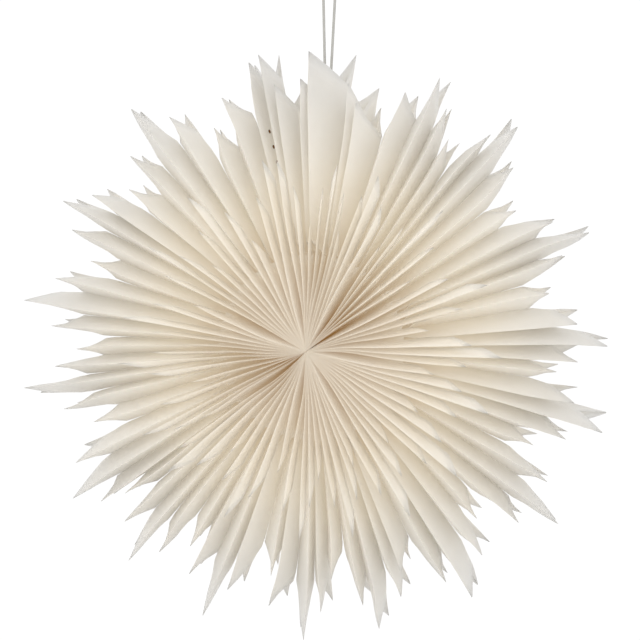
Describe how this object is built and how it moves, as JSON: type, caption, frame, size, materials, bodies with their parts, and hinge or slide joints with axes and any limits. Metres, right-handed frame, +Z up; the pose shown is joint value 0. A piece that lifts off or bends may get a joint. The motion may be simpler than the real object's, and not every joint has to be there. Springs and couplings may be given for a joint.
{
  "type": "paper snowflake star",
  "caption": "Hanging paper star of pointed leaf pockets that open like a fan round a core, with a cord loop; it folds flat for storage.",
  "frame": {"origin": "inside top of the hanging loop", "axes": "+Z up; the star's flat axis is Y and its front faces -Y"},
  "size_m": [0.4492, 0.144, 0.5113],
  "materials": {
    "ivory_paper": "matte",
    "cotton_cord": "matte"
  },
  "bodies": {
    "pair_01": {"long_mid_leaves_01": "ivory_paper"},
    "pair_02": {"short_mid_leaves_01": "ivory_paper", "cord_knot": "cotton_cord", "hanging_cord": "cotton_cord"},
    "pair_03": {"long_mid_leaves_02": "ivory_paper"},
    "pair_04": {"short_mid_leaves_02": "ivory_paper"},
    "pair_05": {"long_mid_leaves_03": "ivory_paper"},
    "pair_06": {"short_mid_leaves_03": "ivory_paper"},
    "pair_07": {"long_mid_leaves_04": "ivory_paper"},
    "pair_08": {"short_mid_leaves_04": "ivory_paper"},
    "pair_09": {"long_mid_leaves_05": "ivory_paper"},
    "pair_10": {"short_mid_leaves_05": "ivory_paper"},
    "pair_11": {"long_mid_leaves_06": "ivory_paper"},
    "pair_12": {"short_mid_leaves_06": "ivory_paper"},
    "pair_13": {"long_mid_leaves_07": "ivory_paper"},
    "pair_14": {"short_mid_leaves_07": "ivory_paper"},
    "pair_15": {"long_mid_leaves_08": "ivory_paper"},
    "pair_16": {"short_mid_leaves_08": "ivory_paper"},
    "pair_17": {"long_mid_leaves_09": "ivory_paper"},
    "pair_18": {"short_mid_leaves_09": "ivory_paper"},
    "pair_19": {"long_mid_leaves_10": "ivory_paper"},
    "pair_20": {"short_mid_leaves_10": "ivory_paper"},
    "pair_21": {"long_mid_leaves_11": "ivory_paper"},
    "pair_22": {"short_mid_leaves_11": "ivory_paper"},
    "pair_23": {"long_mid_leaves_12": "ivory_paper"},
    "pair_24": {"short_mid_leaves_12": "ivory_paper"},
    "pair_25": {"long_mid_leaves_13": "ivory_paper"},
    "pair_26": {"short_mid_leaves_13": "ivory_paper"},
    "pair_27": {"long_mid_leaves_14": "ivory_paper"},
    "pair_28": {"short_mid_leaves_14": "ivory_paper"},
    "pair_29": {"long_mid_leaves_15": "ivory_paper"},
    "pair_30": {"short_mid_leaves_15": "ivory_paper"},
    "pair_31": {"long_mid_leaves_16": "ivory_paper"},
    "pair_32": {"short_mid_leaves_16": "ivory_paper"},
    "pair_33": {"long_mid_leaves_17": "ivory_paper"},
    "pair_34": {"short_mid_leaves_17": "ivory_paper"},
    "pair_35": {"long_mid_leaves_18": "ivory_paper"},
    "pair_36": {"short_mid_leaves_18": "ivory_paper"},
    "closing": {"closing_leaf": "ivory_paper"}
  },
  "joints": [
    {"name": "fold_pair_14", "type": "hinge", "parent": "pair_02", "child": "pair_14", "pos_m": [0.00125, 0, -0.27945], "axis": [0, -1, 0], "range_deg": [0, 116]},
    {"name": "fold_pair_03", "type": "hinge", "parent": "pair_02", "child": "pair_03", "pos_m": [-0.00808, 0, -0.27507], "axis": [0, -1, 0], "range_deg": [0, 7.56]},
    {"name": "fold_pair_04", "type": "hinge", "parent": "pair_02", "child": "pair_04", "pos_m": [-0.00734, 0, -0.27517], "axis": [0, -1, 0], "range_deg": [0, 15.06]},
    {"name": "fold_pair_05", "type": "hinge", "parent": "pair_02", "child": "pair_05", "pos_m": [-0.00662, 0, -0.2753], "axis": [0, -1, 0], "range_deg": [0, 23]},
    {"name": "fold_pair_06", "type": "hinge", "parent": "pair_02", "child": "pair_06", "pos_m": [-0.00581, 0, -0.2755], "axis": [0, -1, 0], "range_deg": [0, 32.25]},
    {"name": "fold_pair_07", "type": "hinge", "parent": "pair_02", "child": "pair_07", "pos_m": [-0.00493, 0, -0.27576], "axis": [0, -1, 0], "range_deg": [0, 42.38]},
    {"name": "fold_pair_08", "type": "hinge", "parent": "pair_02", "child": "pair_08", "pos_m": [-0.00384, 0, -0.27617], "axis": [0, -1, 0], "range_deg": [0, 55.12]},
    {"name": "fold_pair_09", "type": "hinge", "parent": "pair_02", "child": "pair_09", "pos_m": [-0.00281, 0, -0.27664], "axis": [0, -1, 0], "range_deg": [0, 67.31]},
    {"name": "fold_pair_10", "type": "hinge", "parent": "pair_02", "child": "pair_10", "pos_m": [-0.00192, 0, -0.27712], "axis": [0, -1, 0], "range_deg": [0, 77.81]},
    {"name": "fold_pair_11", "type": "hinge", "parent": "pair_02", "child": "pair_11", "pos_m": [-0.00108, 0, -0.27764], "axis": [0, -1, 0], "range_deg": [0, 87.88]},
    {"name": "fold_pair_12", "type": "hinge", "parent": "pair_02", "child": "pair_12", "pos_m": [-0.00035, 0, -0.27814], "axis": [0, -1, 0], "range_deg": [0, 96.62]},
    {"name": "fold_pair_13", "type": "hinge", "parent": "pair_02", "child": "pair_13", "pos_m": [0.00041, 0, -0.27872], "axis": [0, -1, 0], "range_deg": [0, 105.75]},
    {"name": "fold_pair_15", "type": "hinge", "parent": "pair_14", "child": "pair_15", "pos_m": [-0.00114, 0, -0.29078], "axis": [0, -1, 0], "range_deg": [0, 10.06]},
    {"name": "fold_pair_16", "type": "hinge", "parent": "pair_14", "child": "pair_16", "pos_m": [-0.00162, 0, -0.29146], "axis": [0, -1, 0], "range_deg": [0, 19.56]},
    {"name": "fold_pair_17", "type": "hinge", "parent": "pair_14", "child": "pair_17", "pos_m": [-0.00214, 0, -0.29212], "axis": [0, -1, 0], "range_deg": [0, 29.06]},
    {"name": "fold_pair_18", "type": "hinge", "parent": "pair_14", "child": "pair_18", "pos_m": [-0.0027, 0, -0.29275], "axis": [0, -1, 0], "range_deg": [0, 38.56]},
    {"name": "fold_pair_19", "type": "hinge", "parent": "pair_14", "child": "pair_19", "pos_m": [-0.00328, 0, -0.29334], "axis": [0, -1, 0], "range_deg": [0, 47.75]},
    {"name": "fold_pair_20", "type": "hinge", "parent": "pair_14", "child": "pair_20", "pos_m": [-0.00384, 0, -0.29385], "axis": [0, -1, 0], "range_deg": [0, 56]},
    {"name": "fold_pair_21", "type": "hinge", "parent": "pair_14", "child": "pair_21", "pos_m": [-0.00449, 0, -0.29438], "axis": [0, -1, 0], "range_deg": [0, 65.06]},
    {"name": "fold_pair_22", "type": "hinge", "parent": "pair_14", "child": "pair_22", "pos_m": [-0.00537, 0, -0.29503], "axis": [0, -1, 0], "range_deg": [0, 76.56]},
    {"name": "fold_pair_23", "type": "hinge", "parent": "pair_14", "child": "pair_23", "pos_m": [-0.0063, 0, -0.29562], "axis": [0, -1, 0], "range_deg": [0, 87.88]},
    {"name": "fold_pair_24", "type": "hinge", "parent": "pair_14", "child": "pair_24", "pos_m": [-0.00726, 0, -0.29615], "axis": [0, -1, 0], "range_deg": [0, 98.62]},
    {"name": "fold_pair_25", "type": "hinge", "parent": "pair_14", "child": "pair_25", "pos_m": [-0.00819, 0, -0.2966], "axis": [0, -1, 0], "range_deg": [0, 108.44]},
    {"name": "fold_pair_26", "type": "hinge", "parent": "pair_14", "child": "pair_26", "pos_m": [-0.00889, 0, -0.29689], "axis": [0, -1, 0], "range_deg": [0, 115.44]},
    {"name": "fold_pair_27", "type": "hinge", "parent": "pair_26", "child": "pair_27", "pos_m": [-0.01794, 0, -0.29003], "axis": [0, -1, 0], "range_deg": [0, 8.12]},
    {"name": "fold_pair_28", "type": "hinge", "parent": "pair_26", "child": "pair_28", "pos_m": [-0.01844, 0, -0.28915], "axis": [0, -1, 0], "range_deg": [0, 19.62]},
    {"name": "fold_pair_29", "type": "hinge", "parent": "pair_26", "child": "pair_29", "pos_m": [-0.01884, 0, -0.28832], "axis": [0, -1, 0], "range_deg": [0, 30.19]},
    {"name": "fold_pair_30", "type": "hinge", "parent": "pair_26", "child": "pair_30", "pos_m": [-0.01911, 0, -0.28768], "axis": [0, -1, 0], "range_deg": [0, 37.94]},
    {"name": "fold_pair_31", "type": "hinge", "parent": "pair_26", "child": "pair_31", "pos_m": [-0.01938, 0, -0.28695], "axis": [0, -1, 0], "range_deg": [0, 46.56]},
    {"name": "fold_pair_32", "type": "hinge", "parent": "pair_26", "child": "pair_32", "pos_m": [-0.01968, 0, -0.28597], "axis": [0, -1, 0], "range_deg": [0, 57.81]},
    {"name": "fold_pair_33", "type": "hinge", "parent": "pair_26", "child": "pair_33", "pos_m": [-0.01991, 0, -0.28498], "axis": [0, -1, 0], "range_deg": [0, 68.69]},
    {"name": "fold_pair_34", "type": "hinge", "parent": "pair_26", "child": "pair_34", "pos_m": [-0.02007, 0, -0.28406], "axis": [0, -1, 0], "range_deg": [0, 78.44]},
    {"name": "fold_pair_35", "type": "hinge", "parent": "pair_26", "child": "pair_35", "pos_m": [-0.02019, 0, -0.28305], "axis": [0, -1, 0], "range_deg": [0, 88.81]},
    {"name": "fold_pair_36", "type": "hinge", "parent": "pair_26", "child": "pair_36", "pos_m": [-0.02025, 0, -0.2818], "axis": [0, -1, 0], "range_deg": [0, 101.06]},
    {"name": "fold_closing", "type": "hinge", "parent": "pair_26", "child": "closing", "pos_m": [-0.02024, 0, -0.28083], "axis": [0, -1, 0], "range_deg": [0, 110.25]},
    {"name": "fold_pair_01", "type": "hinge", "parent": "pair_02", "child": "pair_01", "pos_m": [-0.00979, 0, -0.27501], "axis": [0, 1, 0], "range_deg": [0, 8.25]}
  ],
  "couplings": [
    {"joint": "fold_pair_03", "follows": "fold_pair_14", "ratio": 0.065193},
    {"joint": "fold_pair_04", "follows": "fold_pair_14", "ratio": 0.12985},
    {"joint": "fold_pair_05", "follows": "fold_pair_14", "ratio": 0.19828},
    {"joint": "fold_pair_06", "follows": "fold_pair_14", "ratio": 0.27802},
    {"joint": "fold_pair_07", "follows": "fold_pair_14", "ratio": 0.3653},
    {"joint": "fold_pair_08", "follows": "fold_pair_14", "ratio": 0.47521},
    {"joint": "fold_pair_09", "follows": "fold_pair_14", "ratio": 0.58028},
    {"joint": "fold_pair_10", "follows": "fold_pair_14", "ratio": 0.6708},
    {"joint": "fold_pair_11", "follows": "fold_pair_14", "ratio": 0.75754},
    {"joint": "fold_pair_12", "follows": "fold_pair_14", "ratio": 0.83297},
    {"joint": "fold_pair_13", "follows": "fold_pair_14", "ratio": 0.91164},
    {"joint": "fold_pair_15", "follows": "fold_pair_14", "ratio": 0.086745},
    {"joint": "fold_pair_16", "follows": "fold_pair_14", "ratio": 0.16864},
    {"joint": "fold_pair_17", "follows": "fold_pair_14", "ratio": 0.25054},
    {"joint": "fold_pair_18", "follows": "fold_pair_14", "ratio": 0.33243},
    {"joint": "fold_pair_19", "follows": "fold_pair_14", "ratio": 0.41164},
    {"joint": "fold_pair_20", "follows": "fold_pair_14", "ratio": 0.48276},
    {"joint": "fold_pair_21", "follows": "fold_pair_14", "ratio": 0.56088},
    {"joint": "fold_pair_22", "follows": "fold_pair_14", "ratio": 0.66002},
    {"joint": "fold_pair_23", "follows": "fold_pair_14", "ratio": 0.75754},
    {"joint": "fold_pair_24", "follows": "fold_pair_14", "ratio": 0.85022},
    {"joint": "fold_pair_25", "follows": "fold_pair_14", "ratio": 0.93481},
    {"joint": "fold_pair_26", "follows": "fold_pair_14", "ratio": 0.99515},
    {"joint": "fold_pair_27", "follows": "fold_pair_14", "ratio": 0.070043},
    {"joint": "fold_pair_28", "follows": "fold_pair_14", "ratio": 0.16918},
    {"joint": "fold_pair_29", "follows": "fold_pair_14", "ratio": 0.26024},
    {"joint": "fold_pair_30", "follows": "fold_pair_14", "ratio": 0.32705},
    {"joint": "fold_pair_31", "follows": "fold_pair_14", "ratio": 0.4014},
    {"joint": "fold_pair_32", "follows": "fold_pair_14", "ratio": 0.49838},
    {"joint": "fold_pair_33", "follows": "fold_pair_14", "ratio": 0.59213},
    {"joint": "fold_pair_34", "follows": "fold_pair_14", "ratio": 0.67619},
    {"joint": "fold_pair_35", "follows": "fold_pair_14", "ratio": 0.76562},
    {"joint": "fold_pair_36", "follows": "fold_pair_14", "ratio": 0.87123},
    {"joint": "fold_closing", "follows": "fold_pair_14", "ratio": 0.95043},
    {"joint": "fold_pair_01", "follows": "fold_pair_14", "ratio": 0.07112}
  ]
}
